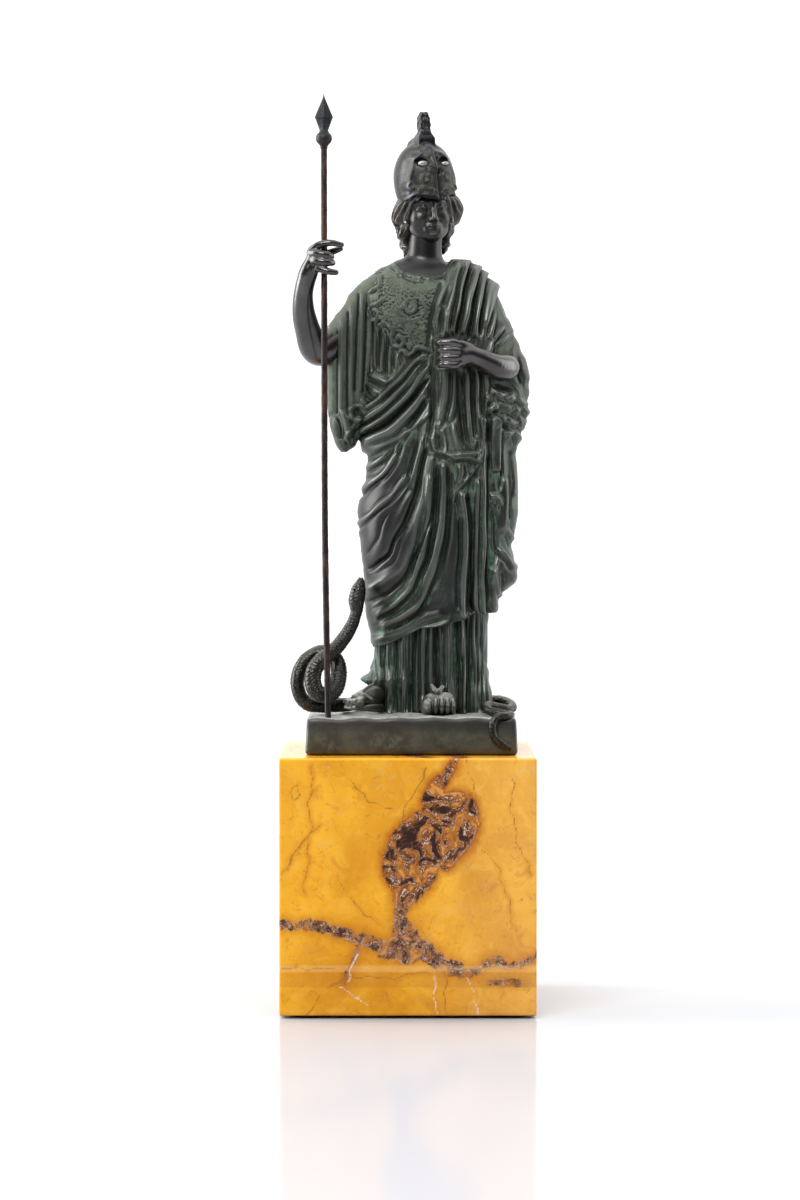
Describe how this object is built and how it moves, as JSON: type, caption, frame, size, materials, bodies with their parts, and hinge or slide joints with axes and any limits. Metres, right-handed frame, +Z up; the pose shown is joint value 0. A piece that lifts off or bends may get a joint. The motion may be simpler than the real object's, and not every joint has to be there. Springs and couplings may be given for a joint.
{
  "type": "bronze statuette on a marble block",
  "caption": "Patinated bronze statuette of a standing Athena in helmet and draped robe, holding a spear, a snake at her side, on a yellow marble block.",
  "frame": {"origin": "on the floor, at the middle of the marble block's footprint", "axes": "+Z up along the figure; the figure faces -Y, and her left side is towards +X"},
  "size_m": [0.094, 0.094, 0.3385],
  "materials": {
    "patinated bronze": "dark brown and green patina, satin",
    "spear bronze": "dark brown patina with rusty patches",
    "yellow marble": "polished yellow marble with brown and purple veins",
    "black felt": "matt felt"
  },
  "bodies": {
    "root": {"marble_plinth": "yellow marble", "athena_figure": "patinated bronze", "spear": "spear bronze", "pad_front_left": "black felt", "pad_back_left": "black felt", "pad_front_right": "black felt", "pad_back_right": "black felt"}
  },
  "joints": []
}
